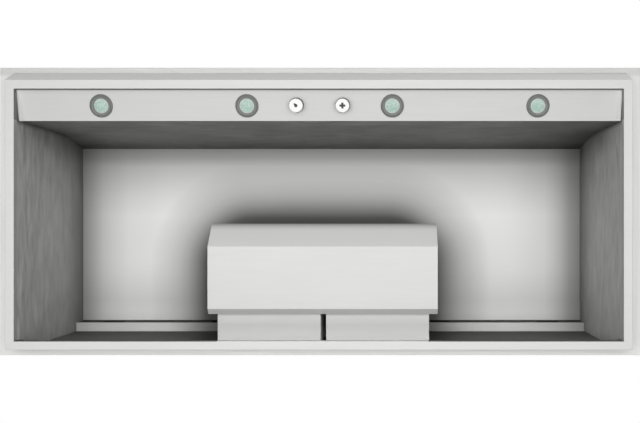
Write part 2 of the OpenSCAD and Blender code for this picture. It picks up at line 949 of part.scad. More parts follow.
top_panel();
back_panel();
side_panel(-1);  // side_panel_left
side_panel(1);  // side_panel_right
front_fascia();
front_panel();
rim_front();
rim_rear();
rim_side(-1);  // rim_left
rim_side(1);  // rim_right
liner_front();
liner_rear();
liner_side(-1);  // liner_left
liner_side(1);  // liner_right
wall_rail();
rail_floor();
rail_front();
light_panel();
lamp_bezel(0);  // lamp_bezel_1
lamp_bezel(1);  // lamp_bezel_2
lamp_bezel(2);  // lamp_bezel_3
lamp_bezel(3);  // lamp_bezel_4
lamp_lens(0);  // lamp_lens_1
lamp_lens(1);  // lamp_lens_2
lamp_lens(2);  // lamp_lens_3
lamp_lens(3);  // lamp_lens_4
lamp_can(0);  // lamp_can_1
lamp_can(1);  // lamp_can_2
lamp_can(2);  // lamp_can_3
lamp_can(3);  // lamp_can_4
fan_knob();
fan_knob_mark();
fan_switch();
light_knob();
light_knob_mark();
light_switch();
blower_box(-1);  // blower_box_left
blower_box(1);  // blower_box_right
scroll(-1);  // scroll_left
scroll(1);  // scroll_right
inlet_ring(-1);  // inlet_ring_left
inlet_ring(1);  // inlet_ring_right
fan_wheel(-1);  // fan_wheel_left
fan_wheel(1);  // fan_wheel_right
motor(-1);  // motor_left
motor(1);  // motor_right
motor_shaft(-1);  // motor_shaft_left
motor_shaft(1);  // motor_shaft_right
motor_bracket(-1);  // motor_bracket_left
motor_bracket(1);  // motor_bracket_right
grease_tray();
tray_rail(-1);  // tray_rail_left
tray_rail(1);  // tray_rail_right
duct_collar(-1);  // duct_collar_left
duct_collar(1);  // duct_collar_right
damper(-1);  // damper_left
damper(1);  // damper_right
junction_box();
cable_gland();
collar_screws();
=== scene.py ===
import json
import math

import bmesh
import bpy
from mathutils import Matrix, Vector

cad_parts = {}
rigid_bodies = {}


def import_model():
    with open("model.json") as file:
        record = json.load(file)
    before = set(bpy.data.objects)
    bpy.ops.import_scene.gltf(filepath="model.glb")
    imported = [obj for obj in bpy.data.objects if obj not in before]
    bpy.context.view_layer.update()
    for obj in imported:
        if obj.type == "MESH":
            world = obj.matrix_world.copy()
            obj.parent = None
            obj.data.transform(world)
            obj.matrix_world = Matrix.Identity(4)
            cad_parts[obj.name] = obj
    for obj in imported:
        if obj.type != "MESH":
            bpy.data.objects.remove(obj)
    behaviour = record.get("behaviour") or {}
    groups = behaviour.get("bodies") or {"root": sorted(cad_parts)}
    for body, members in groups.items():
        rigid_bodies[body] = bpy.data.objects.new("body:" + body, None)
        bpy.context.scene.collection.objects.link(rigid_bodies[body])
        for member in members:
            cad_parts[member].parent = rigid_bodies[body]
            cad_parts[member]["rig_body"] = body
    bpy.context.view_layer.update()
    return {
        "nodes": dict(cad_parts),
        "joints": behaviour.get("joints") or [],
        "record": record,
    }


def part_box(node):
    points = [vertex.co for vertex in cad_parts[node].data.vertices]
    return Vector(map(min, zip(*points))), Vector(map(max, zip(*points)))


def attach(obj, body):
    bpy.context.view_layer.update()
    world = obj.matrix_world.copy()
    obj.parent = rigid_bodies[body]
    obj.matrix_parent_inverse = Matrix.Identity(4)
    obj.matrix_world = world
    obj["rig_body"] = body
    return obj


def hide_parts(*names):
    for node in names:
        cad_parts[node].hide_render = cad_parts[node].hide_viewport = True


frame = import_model()
nodes = frame["nodes"]
joints = {joint["name"]: joint for joint in frame["joints"]}
scene = bpy.context.scene
mm = 0.001
print("frame loaded:", len(nodes), "nodes")


# colours and material nodes

def channel(value):
    return value / 12.92 if value <= 0.04045 else ((value + 0.055) / 1.055) ** 2.4


def colour(hexText):
    # sRGB hex to the linear values that a socket takes
    parts = [int(hexText[i:i + 2], 16) / 255 for i in (1, 3, 5)]
    return tuple(channel(part) for part in parts) + (1.0,)


def addNode(tree, kind, settings=None, links=None):
    node = tree.nodes.new(kind)
    for name, value in (settings or {}).items():
        if isinstance(name, int) or name in node.inputs:
            node.inputs[name].default_value = value
        else:
            setattr(node, name, value)
    for name, source in (links or {}).items():
        tree.links.new(source, node.inputs[name])
    return node


def newMaterial(name):
    material = bpy.data.materials.new(name)
    material.use_nodes = True
    material.node_tree.nodes.clear()
    return material, material.node_tree


def ramp(tree, source, stops):
    node = addNode(tree, "ShaderNodeValToRGB", links={"Fac": source})
    elements = node.color_ramp.elements
    while len(elements) < len(stops):
        elements.new(0.5)
    for element, (place, shade) in zip(elements, stops):
        element.position = place
        element.color = shade if isinstance(shade, tuple) else (shade, shade, shade, 1)
    return node.outputs["Color"]


def finishMaterial(tree, settings, links):
    shader = addNode(tree, "ShaderNodeBsdfPrincipled", settings, links)
    addNode(tree, "ShaderNodeOutputMaterial", links={"Surface": shader.outputs["BSDF"]})


# Painted shade: the steel's colour is darkened where shade falls, in corners, beside the blowers and under parts.
# It grows from the edges of a sheet. Each edge is (axis, place, way into the sheet, stops). A stop is a distance in
# mm and the share of the colour that is left there. An edge may end in the two heights between which its painted
# shade deepens from nothing to full, or in two places along another axis and that axis.
# around lists (centre, half size, stops) of level rectangles that the painted shade grows out from, at any height.
upAxis = 2
anyHeight = 9


def paintShade(tree, shade, place, edges=(), around=()):
    axes = addNode(tree, "ShaderNodeSeparateXYZ", links={"Vector": place}).outputs
    distances = []
    for axis, edge, way, stops, *fadesIn in edges:
        away = addNode(tree, "ShaderNodeMath", {"operation": "MULTIPLY_ADD", 1: float(way), 2: -way * edge},
                       {0: axes[axis]})
        distances.append((away.outputs[0], stops, fadesIn))
    for centre, half, stops in around:
        offset = addNode(tree, "ShaderNodeVectorMath", {"operation": "SUBTRACT", 1: (*centre, 0)}, {0: place})
        size = addNode(tree, "ShaderNodeVectorMath", {"operation": "ABSOLUTE"}, {0: offset.outputs["Vector"]})
        past = addNode(tree, "ShaderNodeVectorMath", {"operation": "SUBTRACT", 1: (*half, anyHeight)},
                       {0: size.outputs["Vector"]})
        outside = addNode(tree, "ShaderNodeVectorMath", {"operation": "MAXIMUM", 1: (0, 0, 0)},
                          {0: past.outputs["Vector"]})
        distance = addNode(tree, "ShaderNodeVectorMath", {"operation": "LENGTH"}, {0: outside.outputs["Vector"]})
        distances.append((distance.outputs["Value"], stops, ()))
    for distance, stops, fadesIn in distances:
        reachMm = stops[-1][0]
        share = addNode(tree, "ShaderNodeMath", {"operation": "DIVIDE", 1: reachMm * mm}, {0: distance})
        keep = ramp(tree, share.outputs[0], [(where / reachMm, left) for where, left in stops])
        if fadesIn:
            start, end, along = (*fadesIn, upAxis)[:3]
            full = addNode(tree, "ShaderNodeMapRange", {"From Min": start, "From Max": end},
                           {"Value": axes[along]}).outputs["Result"]
            keep = addNode(tree, "ShaderNodeMix", {"data_type": "RGBA", 6: (1, 1, 1, 1)},
                           {0: full, 7: keep}).outputs[2]
        shade = addNode(tree, "ShaderNodeVectorMath", {"operation": "MULTIPLY"},
                        {0: shade, 1: keep}).outputs["Vector"]
    return shade


# Brushed stainless steel: long hairlines along one axis and a soft gloss that they break up.
# Real hairlines are about 0.1 mm wide, too fine for a picture of the whole hood, so they are drawn wider.
# outside is (light, dark, roughness) of the faces that do not look down, which get no painted shade.
def brushedStainless(name, light, dark, grain="X", lineMm=5.0, lengthMm=120.0, roughness=0.45, streak=0.5,
                     bump=0.02, paintedShade=None, outside=None):
    material, tree = newMaterial(name)
    place = addNode(tree, "ShaderNodeTexCoord").outputs["Object"]
    across, along = 1000 / lineMm, 1000 / lengthMm
    scale = {"X": (along, across, across), "Y": (across, along, across)}[grain]
    lines = addNode(tree, "ShaderNodeMapping", {"Scale": scale}, {"Vector": place})
    hair = addNode(tree, "ShaderNodeTexNoise", {"Scale": 1.0, "Detail": 3.0, "Roughness": 0.6, "Distortion": 0.4},
                   {"Vector": lines.outputs["Vector"]})
    cloud = addNode(tree, "ShaderNodeTexNoise", {"Scale": 6.0, "Detail": 2.0, "Roughness": 0.5}, {"Vector": place})
    spread = addNode(tree, "ShaderNodeMath", {"operation": "MULTIPLY_ADD", 1: streak, 2: 0.5 - streak / 2},
                     {0: hair.outputs["Fac"]})
    both = addNode(tree, "ShaderNodeMath", {"operation": "MULTIPLY_ADD", 1: 0.25},
                   {0: cloud.outputs["Fac"], 2: spread.outputs[0]})
    shade = ramp(tree, both.outputs[0], [(0.35, colour(dark)), (0.95, colour(light))])
    swing = 0.12 * streak
    gloss = addNode(tree, "ShaderNodeMapRange",
                    {"From Min": 0.3, "From Max": 0.7, "To Min": roughness - swing, "To Max": roughness + swing},
                    {"Value": hair.outputs["Fac"]}).outputs["Result"]
    if paintedShade:
        shade = paintShade(tree, shade, place, **paintedShade)
    if outside:
        # faces that look down keep the painted shade and the first grey, the others take the grey and gloss of
        # outside
        outsideLight, outsideDark, outsideRoughness = outside
        unshaded = ramp(tree, hair.outputs["Fac"], [(0.36, colour(outsideDark)), (0.64, colour(outsideLight))])
        facing = addNode(tree, "ShaderNodeSeparateXYZ",
                         links={"Vector": addNode(tree, "ShaderNodeNewGeometry").outputs["Normal"]})
        outer = addNode(tree, "ShaderNodeMapRange", {"From Min": -0.8, "From Max": -0.3},
                        {"Value": facing.outputs["Z"]}).outputs["Result"]
        gloss = addNode(tree, "ShaderNodeMath", {"operation": "MULTIPLY_ADD", 1: outsideRoughness - roughness},
                        {0: outer, 2: gloss}).outputs[0]
        shade = addNode(tree, "ShaderNodeMix", {"data_type": "RGBA"}, {0: outer, 6: shade, 7: unshaded}).outputs[2]
    relief = addNode(tree, "ShaderNodeBump", {"Strength": bump, "Distance": 0.4 * mm},
                     {"Height": hair.outputs["Fac"]})
    finishMaterial(tree, {"Metallic": 1.0}, {"Base Color": shade, "Roughness": gloss,
                                             "Normal": relief.outputs["Normal"]})
    return material


# Galvanised sheet: zinc crystals, 5 to 9 mm across, show as flat patches of slightly different grey.
def galvanisedSheet(name, light, dark, spangleMm=9.0, roughness=0.42):
    material, tree = newMaterial(name)
    place = addNode(tree, "ShaderNodeTexCoord").outputs["Object"]
    spangle = addNode(tree, "ShaderNodeTexVoronoi", {"Scale": 1000 / spangleMm, "Randomness": 1.0}, {"Vector": place})
    grey = addNode(tree, "ShaderNodeSeparateColor", links={"Color": spangle.outputs["Color"]})
    shade = ramp(tree, grey.outputs["Red"], [(0.0, colour(dark)), (1.0, colour(light))])
    gloss = addNode(tree, "ShaderNodeMapRange", {"To Min": roughness - 0.08, "To Max": roughness + 0.08},
                    {"Value": grey.outputs["Green"]})
    finishMaterial(tree, {"Metallic": 1.0}, {"Base Color": shade, "Roughness": gloss.outputs["Result"]})
    return material


# Enamel, plating, ink, moulded plastic or rubber: a fine grain breaks up the gloss.
# Real grain is a few tenths of a millimetre, too fine for a picture of the whole hood, so it is drawn wider.
def grainedSurface(name, light, dark, grainMm=1.5, roughness=0.4, bump=0.05, metallic=0.0, ior=1.5):
    material, tree = newMaterial(name)
    place = addNode(tree, "ShaderNodeTexCoord").outputs["Object"]
    grain = addNode(tree, "ShaderNodeTexNoise", {"Scale": 1000 / grainMm, "Detail": 2.0}, {"Vector": place})
    shade = ramp(tree, grain.outputs["Fac"], [(0.3, colour(dark)), (0.7, colour(light))])
    relief = addNode(tree, "ShaderNodeBump", {"Strength": bump, "Distance": 0.3 * mm},
                     {"Height": grain.outputs["Fac"]})
    gloss = addNode(tree, "ShaderNodeMapRange", {"To Min": roughness - 0.04, "To Max": roughness + 0.04},
                    {"Value": grain.outputs["Fac"]})
    finishMaterial(tree, {"Metallic": metallic, "IOR": ior},
                   {"Base Color": shade, "Roughness": gloss.outputs["Result"], "Normal": relief.outputs["Normal"]})
    return material


# Frosted lamp glass, faintly green as thick soda glass is. Small pressed cushions catch the light unevenly.
def pressedGlass(name, light, dark, cushionMm=6.0):
    material, tree = newMaterial(name)
    place = addNode(tree, "ShaderNodeTexCoord").outputs["Object"]
    cushions = addNode(tree, "ShaderNodeTexVoronoi", {"Scale": 1000 / cushionMm, "Randomness": 0.5},
                       {"Vector": place})
    rise = addNode(tree, "ShaderNodeMath", {"operation": "MULTIPLY", 1: 1.2}, {0: cushions.outputs["Distance"]})
    shade = ramp(tree, rise.outputs[0], [(0.25, colour(light)), (0.75, colour(dark))])
    relief = addNode(tree, "ShaderNodeBump", {"Strength": 0.3, "Distance": 0.5 * mm}, {"Height": rise.outputs[0]})
    finishMaterial(tree, {"Roughness": 0.35, "IOR": 1.5, "Transmission Weight": 0.25},
                   {"Base Color": shade, "Normal": relief.outputs["Normal"]})
    return material


# where the painted shade grows from
linerLeft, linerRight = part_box("liner_left")[1].x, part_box("liner_right")[0].x
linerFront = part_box("liner_front")[1].y
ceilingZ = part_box("top_panel")[0].z
panelFront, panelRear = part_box("light_panel")
trayFront, trayRear = (corner.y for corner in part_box("grease_tray"))
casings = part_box("blower_box_left")[0].x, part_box("blower_box_right")[1].x
rimInside = [(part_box("rim_left")[1].x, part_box("rim_right")[0].x),
             (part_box("rim_front")[1].y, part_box("rim_rear")[0].y)]

hollow = {"centre": (-0.031, -0.1), "half": (0.1915, 0.096)}  # of the ceiling, round the blowers
# painted shade on the ceiling: darker by the walls, behind the rail and round the blowers
ceilingShade = {
    "edges": [(0, linerLeft, 1, [(0, 0.55), (10, 0.6), (33, 0.735), (56, 0.87), (80, 0.93), (130, 1.0)]),
              (0, linerRight, -1, [(0, 0.48), (29, 0.605), (53, 0.78), (76, 0.885), (100, 0.955), (200, 1.0)]),
              (1, linerFront, 1, [(0, 0.47), (27, 0.605), (50, 0.78), (74, 0.825), (120, 0.89), (190, 1.0)]),
              (1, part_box("rail_front")[0].y, -1, [(0, 0.1), (0.3, 0.1), (1.2, 1.0), (25, 1.0), (60, 0.92)])],
    "around": [(hollow["centre"], hollow["half"],
                [(0, 0.12), (114, 0.158), (136, 0.223), (153, 0.408), (171, 0.565), (188, 0.687), (210, 0.794),
                 (244, 0.892), (294, 1.0)])],
}
wallFade = panelRear.z - 60 * mm, ceilingZ - 150 * mm  # heights between which the corner's painted shade deepens
# painted shade on the side liners: darker towards the ceiling, and at the corner and lower edge by the panel
sideShade = {"edges": [
    (2, ceilingZ, -1, [(0, 0.463), (47, 0.602), (92, 0.768), (135, 0.887), (177, 0.96), (217, 0.984), (270, 1.0)]),
    (1, panelRear.y, 1, [(0, 0.43), (12, 0.43), (43, 0.64), (74, 0.83), (105, 0.915), (150, 1.0)], *wallFade),
    (1, panelRear.y, 1, [(0, 0.36), (5, 0.75), (12, 1.0)])]}
panelEnd = 60 * mm  # the length at each end of the panel where the painted shade grows
# painted shade on the panel: a dark line along its front edge, and darker towards its ends
panelShade = {"edges": [(1, panelFront.y, 1, [(0, 0.35), (1.2, 0.35), (3, 1.0)])],
             "around": [((0, panelRear.y), (panelRear.x - panelEnd, 1.0),
                         [(0, 0.69), (25, 0.705), (35, 0.715), (42, 0.73), (46, 0.75), (49, 0.78), (52, 0.83),
                          (55, 0.92), (60, 0.95)])]}
# painted shade on the front liner: darker towards the ceiling, along its lower edge and towards its ends
frontShade = {"edges": [
    (2, ceilingZ, -1, [(0, 0.57), (20, 0.63), (40, 0.67), (60, 0.775), (87, 0.9), (115, 0.98), (150, 1.0)]),
    (2, panelRear.z, 1, [(0, 0.6), (9, 0.6), (15, 1.0)]),
    (0, linerLeft, 1, [(0, 0.57), (50, 0.81), (110, 1.0)]),
    (0, linerRight, -1, [(0, 0.51), (70, 0.7), (160, 0.8), (260, 1.0)])]}


def shadeBehindCasings(shiftMm, stops):
    # painted shade that grows sideways from round the casings, a little to the left of their middle
    aroundY, halfDeep = -0.1, 0.2
    return (sum(casings) / 2 - shiftMm * mm, aroundY), ((casings[1] - casings[0]) / 2, halfDeep), stops


# painted shade on the rear liner: darker towards the ceiling and behind the casings
rearShade = {"edges": [(2, ceilingZ, -1, [(0, 0.4), (200, 0.9), (300, 1.0)])],
            "around": [shadeBehindCasings(12, [(0, 0.25), (30, 0.37), (44, 0.47), (62, 0.63), (80, 0.85), (97, 0.93),
                                          (115, 1.0)])]}
# painted shade on the rail: a dark line at its front, darker by the walls and behind the casings
railShade = {"edges": [
    (1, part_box("rail_floor")[0].y, 1, [(0, 0.5), (1.6, 1.0)]),
    (0, linerLeft, 1, [(0, 0.86), (25, 0.91), (48, 0.967), (115, 1.0)]),
    (0, linerRight, -1, [(0, 0.676), (28, 0.78), (51, 0.87), (73, 0.932), (125, 0.979), (180, 1.0)])],
    "around": [shadeBehindCasings(32, [(0, 0.2), (29, 0.29), (41, 0.33), (60, 0.43), (80, 0.57), (99, 0.7),
                                  (119, 0.81), (138, 0.9), (158, 0.96), (200, 1.0)])]}
# painted shadow: the rail's front lip is darkened almost to black below the ceiling
railLipShade = {"edges": [(2, ceilingZ, -1, [(0, 0.06), (46, 0.08), (53, 0.3)])]}
# painted shade along the front of the ledge
ledgeShade = {"edges": [(1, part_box("front_fascia")[0].y, 1, [(0, 0.84), (14, 0.84), (24, 1.0)])]}
# painted shade on the tray: a dark line at its front edge, its bottom and rear bevel darker than its front chamfer
trayShade = {"edges": [(1, trayFront, 1, [(0, 0.5), (2.5, 0.62), (5, 0.75), (7.5, 0.86), (12.5, 0.94), (16, 1.0),
                                         (56.8, 1.0), (57.1, 0.76), (209.9, 0.76), (210.1, 0.84), (223.5, 0.84)])]}
# painted shade on the casings, behind the tray
casingShade = {"edges": [(1, trayRear, 1, [(0, 0.68), (28, 0.68), (36, 0.735), (46, 0.82), (56, 0.915), (66, 1.0)])]}


def lipFaces(low, high, left):
    # the upright faces of the rim's lip round the part of the opening between two places in Y, with painted shade
    spans = [rimInside[0], (low, high)]
    return ([sum(span) / 2 for span in spans], [(span[1] - span[0]) / 2 for span in spans],
            [(0, left), (0.05, left), (0.2, 1.0)])


# the rear lip is painted dark, a painted shade, only beside the casings: from a low view each dark part ends
# inwards of their sides
lip = {"frontOutMm": 0.5, "rearOutMm": 1.2, "leftEndMm": 27, "rightEndMm": 8.5, "halfFadeMm": 1.5}
# painted shade on the upright faces of the rim's lip, and a dark line along its front
wholeLip = lipFaces(*rimInside[1], 0.8)
sideLipShade = {"around": [wholeLip, lipFaces(rimInside[1][0], panelRear.y, 0.55)]}
frontLipShade = {"edges": [(1, rimInside[1][0] - lip["frontOutMm"] * mm, 1,
                           [(0, 1.0), (0.4, 1.0), (0.5, 0.42), (1.5, 0.42), (1.6, 1.0)])], "around": [wholeLip]}
rearEdge = 1, rimInside[1][1] + lip["rearOutMm"] * mm, -1, [(0, 1.0), (0.1, 0.27), (1.2, 0.27), (6, 1.0)]
leftEnd, rightEnd = casings[0] + lip["leftEndMm"] * mm, casings[1] - lip["rightEndMm"] * mm
halfFade = lip["halfFadeMm"] * mm
rearLipShade = {"edges": [(*rearEdge, leftEnd + halfFade, leftEnd - halfFade, 0),
                         (*rearEdge, rightEnd - halfFade, rightEnd + halfFade, 0)]}

# what sheets of one make share: brushed outside sheets, satin sheets with a grain too fine to show, and
# liner sheets, whose dull lines are drawn 16 mm wide so that they show from far below
# the grey and gloss of faces that do not look down, with no painted shade
unshadedSteel = ("#c9c9c7", "#b9b9b7", 0.5)
brushed = {"lineMm": 2.6, "lengthMm": 240, "roughness": 0.8, "paintedShade": ledgeShade, "outside": unshadedSteel}
satin = {"roughness": 0.8, "streak": 0.1, "bump": 0.008}
dulled = {"lineMm": 16, "roughness": 0.8, "streak": 1.0, "bump": 0.06}
rimSatin = {"light": "#c7c7c6", "dark": "#c3c3c2", "lineMm": 6, **satin}
finishes = {
    # brushed stainless steel: silky lines with a soft sheen outside, even grey below
    "shell": brushedStainless("brushedStainlessShell", "#d5d5d4", "#cacac9", **brushed),
    "shellSide": brushedStainless("brushedStainlessShellSide", "#d5d5d4", "#cacac9", grain="Y", **brushed),
    # satin stainless steel: plain pale metal that spreads its reflections. The ceiling's grey is set far paler than
    # the rim's, painted light deep in the hood where little light reaches; the rim's lip carries painted shade
    "ceiling": brushedStainless("satinStainlessCeiling", "#f0f0f0", "#ebebe9", roughness=0.85, lineMm=8,
                                lengthMm=260, streak=0.05, bump=0.006, paintedShade=ceilingShade, outside=unshadedSteel),
    "rim": brushedStainless("satinStainlessRim", **rimSatin, paintedShade=sideLipShade),
    "rimFront": brushedStainless("satinStainlessFrontRim", **rimSatin, paintedShade=frontLipShade),
    "rimRear": brushedStainless("satinStainlessRearRim", **rimSatin, paintedShade=rearLipShade),
    # brushed stainless steel, streaky, with painted shade that darkens it towards the ceiling; the front and rear
    # liners are darker painted copies of the same steel, a painted shade for the less light that falls on them
    "liner": brushedStainless("brushedStainlessSideLiner", "#d2d2d0", "#a9a9a8", grain="Y", lengthMm=70,
                              paintedShade=sideShade, **dulled),
    "linerFront": brushedStainless("shadedStainlessFrontLiner", "#9c9c9b", "#6e6e6c", lengthMm=60,
                                   paintedShade=frontShade, **dulled),
    "linerRear": brushedStainless("shadedStainlessRearLiner", "#868685", "#626260", lengthMm=60,
                                  paintedShade=rearShade, **dulled),
    # satin stainless steel with painted shade; the rail's front lip is painted nearly black, a painted shadow
    "rail": brushedStainless("satinStainlessRail", "#e6e6e5", "#dcdcdb", roughness=0.8, paintedShade=railShade),
    "railLip": brushedStainless("satinStainlessRailLipShaded", "#e6e6e5", "#dcdcdb", roughness=0.8, paintedShade=railLipShade),
    "panel": brushedStainless("satinStainlessPanel", "#e1e1e0", "#dddddc", paintedShade=panelShade, **satin),
    "casing": brushedStainless("satinStainlessCasing", "#efefee", "#eaeae9", paintedShade=casingShade, **satin),
    "tray": brushedStainless("satinStainlessTray", "#e3e3e2", "#dfdfde", lineMm=7, paintedShade=trayShade, **satin),
    # galvanised steel: a mosaic of greys, smaller on the thin sheet of the wheels
    "zinc": galvanisedSheet("galvanisedSheet", "#b4b6b6", "#9a9c9d"),
    "wheel": galvanisedSheet("galvanisedWheel", "#a8abac", "#8f9293", spangleMm=5),
    # ground steel and rolled aluminium: smooth, with a clear gloss
    "shaft": brushedStainless("groundShaftSteel", "#c9c9c9", "#b8b8b8", lineMm=1.5, roughness=0.25),
    "flap": brushedStainless("millAluminium", "#cfd1d2", "#bfc1c2", lineMm=3, roughness=0.35),
    # zinc plating: bright and faintly blue
    "screw": grainedSurface("brightZincScrew", "#c4c8cc", "#aeb2b6", metallic=1.0, roughness=0.3),
    # enamel and printing ink: even and opaque
    "bezel": grainedSurface("satinGreyEnamel", "#555755", "#4f514f", roughness=0.45),
    "motor": grainedSurface("darkGreyMotorEnamel", "#515457", "#45484b", roughness=0.5),
    "print": grainedSurface("blackPrintInk", "#121212", "#0b0b0b", roughness=0.6),
    # moulded ABS and nylon: glossy caps, dull skirts and fittings; the skirts' dark grey is painted shade round each
    # knob's side
    "knob": grainedSurface("whiteGlossAbs", "#c2c2c0", "#bebebc", roughness=0.34, bump=0.01, ior=1.54),
    "skirt": grainedSurface("shadeGreyAbs", "#56585a", "#4c4e50", roughness=0.5, bump=0.02, ior=1.54),
    "switch": grainedSurface("darkGreyNylon", "#424345", "#37383a", roughness=0.6),
    "gland": grainedSurface("blackNylonGland", "#26272a", "#1c1d1f", roughness=0.4),
    # moulded rubber: black and matt
    "rubber": grainedSurface("blackRubberSeal", "#1b1b1c", "#131314", roughness=0.85),
    # pressed glass: pale green and frosted, with a greyer rim where it is thicker
    "glass": pressedGlass("frostedLampGlass", "#a3b6b0", "#829f95"),
    "glassRim": pressedGlass("frostedLampGlassRim", "#a9b3ac", "#9fa9a2"),
}

slotFinishes = {
    "shell_steel": "shell", "ceiling_steel": "ceiling", "rim_steel": "rim", "liner_steel": "liner",
    "rail_steel": "rail", "panel_steel": "panel", "bezel_grey": "bezel", "lens_glass": "glass",
    "can_steel": "zinc", "knob_white": "knob", "mark_black": "print", "switch_plastic": "switch",
    "casing_steel": "casing", "tray_steel": "tray", "galvanised_steel": "zinc", "wheel_steel": "wheel",
    "motor_paint": "motor", "shaft_steel": "shaft", "flap_aluminium": "flap", "gland_plastic": "gland",
    "screw_zinc": "screw",
}
nodeFinishes = {
    "liner_front": "linerFront", "liner_rear": "linerRear", "rail_front": "railLip", "rim_front": "rimFront",
    "rim_rear": "rimRear", "side_panel_left": "shellSide", "side_panel_right": "shellSide",
}
slotOf = {part["node"]: part["material_slot"] for part in frame["record"]["subparts"]}


def finishOf(name):
    return nodeFinishes.get(name, slotFinishes[slotOf[name]])


for name, node in nodes.items():
    if not node.data.materials:
        node.data.materials.append(finishes[finishOf(name)])
    for slot in node.material_slots:
        slot.material = finishes[finishOf(name)]
print("finishes assigned")


# mesh helpers

weld = 1e-6  # corners this near to each other are one


def carry(name, mesh, finish, body, replaced=(), crease=38, flat=False):
    # turns a bmesh into an object with its finish, moved by one body
    bmesh.ops.remove_doubles(mesh, verts=mesh.verts, dist=weld)
    bmesh.ops.recalc_face_normals(mesh, faces=mesh.faces)
    data = bpy.data.meshes.new(name)
    mesh.to_mesh(data)
    mesh.free()
    data.materials.append(finishes[finish])
    for polygon in data.polygons:
        polygon.use_smooth = True
    data.set_sharp_from_angle(angle=math.radians(crease))
    piece = bpy.data.objects.new(name, data)
    scene.collection.objects.link(piece)
    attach(piece, body)
    if replaced:
        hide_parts(*replaced)
    if flat:
        # large flats keep one even normal, and only the bends between them turn
        weighted = piece.modifiers.new("evenFlats", "WEIGHTED_NORMAL")
        weighted.keep_sharp = True


def turn(mesh, outline, place, sides, wave=None):
    # spins a closed outline of (radius, height) points about the Z axis of place
    rings = []
    for step in range(sides):
        angle = 2 * math.pi * step / sides
        ring = []
        for index, (radius, height) in enumerate(outline):
            reach = radius + (wave(index, angle) if wave else 0)
            ring.append(mesh.verts.new(place @ Vector((reach * math.cos(angle), reach * math.sin(angle), height))))
        rings.append(ring)
    for step in range(sides):
        here, there = rings[step], rings[(step + 1) % sides]
        for index in range(len(outline)):
            after = (index + 1) % len(outline)
            mesh.faces.new((here[index], there[index], there[after], here[after]))


def prism(mesh, outline, place, low, high):
    # a flat outline of (x, y) points, from low to high along the Z axis of place
    bottom = [mesh.verts.new(place @ Vector((x, y, low))) for x, y in outline]
    top = [mesh.verts.new(place @ Vector((x, y, high))) for x, y in outline]
    mesh.faces.new(bottom[::-1])
    mesh.faces.new(top)
    for index in range(len(outline)):
        after = (index + 1) % len(outline)
        mesh.faces.new((bottom[index], bottom[after], top[after], top[index]))


def roundedOutline(width, depth, corner, steps):
    points = []
    for quarter, (sx, sy) in enumerate(((1, 1), (-1, 1), (-1, -1), (1, -1))):
        for step in range(steps + 1):
            angle = math.pi / 2 * (quarter + step / steps)
            points.append((sx * (width / 2 - corner) + corner * math.cos(angle),
                           sy * (depth / 2 - corner) + corner * math.sin(angle)))
    return points


def hexScrew(mesh, place, size):
    # a hexagon head on a round flange, its underside at Z = 0
    turn(mesh, [(0, 0), (size, 0), (size, 0.35 * mm), (0.62 * size, 0.7 * mm), (0, 0.7 * mm)], place, 24)
    turn(mesh, [(0, 0.5 * mm), (0.62 * size, 0.5 * mm), (0.62 * size, 1.9 * mm), (0.5 * size, 2.3 * mm),
                (0.34 * size, 2.0 * mm), (0, 2.0 * mm)], place, 6)


def at(x, y, z):
    return Matrix.Translation((x, y, z))


def acrossEdge(face, edge):
    # about how wide the face is, measured from this edge
    return face.calc_area() / max(edge.calc_length(), weld)


def bendingEdges(mesh, degrees):
    # convex edges between two faces that turn by more than an angle
    return [edge for edge in mesh.edges if len(edge.link_faces) == 2 and edge.is_convex
            and edge.calc_face_angle() > math.radians(degrees)]


def squareEdges(mesh):
    # the corners of a prism, which turn by more than 1 radian
    return [edge for edge in mesh.edges if edge.calc_face_angle(0) > 1]


def bevelEdges(mesh, edges, width, steps):
    if edges:
        bmesh.ops.bevel(mesh, geom=edges, offset=width, segments=steps, profile=0.5, affect="EDGES",
                        clamp_overlap=True)


def inMetres(outline):
    return [(across * mm, high * mm) for across, high in outline]


def middle(name):
    low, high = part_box(name)
    return (low + high) / 2


def footOf(name):
    # the middle of a node's underside
    low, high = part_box(name)
    return (low.x + high.x) / 2, (low.y + high.y) / 2, low.z


# sheet metal: every folded sheet gets round bends and broken edges

bends = {"bendMm": 1.3, "rimBendMm": 0.7, "bendSteps": 4, "foldDeg": 30, "sheetMm": 4.0, "edgeMm": 0.3,
         "edgeSteps": 2, "edgeDeg": 50, "flatDeg": 1}
sheets = [
    "top_panel", "back_panel", "side_panel_left", "side_panel_right", "front_fascia", "front_panel",
    "rim_front", "rim_rear", "rim_left", "rim_right", "liner_front", "liner_rear", "liner_left", "liner_right",
    "wall_rail", "rail_floor", "rail_front", "light_panel", "blower_box_left", "blower_box_right", "grease_tray",
    "tray_rail_left", "tray_rail_right", "junction_box", "damper_left", "damper_right",
    "motor_bracket_left", "motor_bracket_right", "fan_switch", "light_switch",
]

for name in sheets:
    mesh = bmesh.new()
    mesh.from_mesh(nodes[name].data)
    bmesh.ops.remove_doubles(mesh, verts=mesh.verts, dist=weld)
    bmesh.ops.dissolve_limit(mesh, angle_limit=math.radians(bends["flatDeg"]), verts=mesh.verts, edges=mesh.edges)
    # a fold has two wide faces, and any other sharp edge is a cut one
    folds = [edge for edge in bendingEdges(mesh, bends["foldDeg"])
             if min(acrossEdge(face, edge) for face in edge.link_faces) > bends["sheetMm"] * mm]
    bend = bends["rimBendMm"] if name.startswith("rim_") else bends["bendMm"]
    bevelEdges(mesh, folds, bend * mm, bends["bendSteps"])
    bevelEdges(mesh, bendingEdges(mesh, bends["edgeDeg"]), bends["edgeMm"] * mm, bends["edgeSteps"])
    carry(name + "Sheet", mesh, finishOf(name), nodes[name]["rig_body"], [name], flat=True)
print("sheet metal folded")


# slanted panel: lamps and knobs stand on it, square to its face

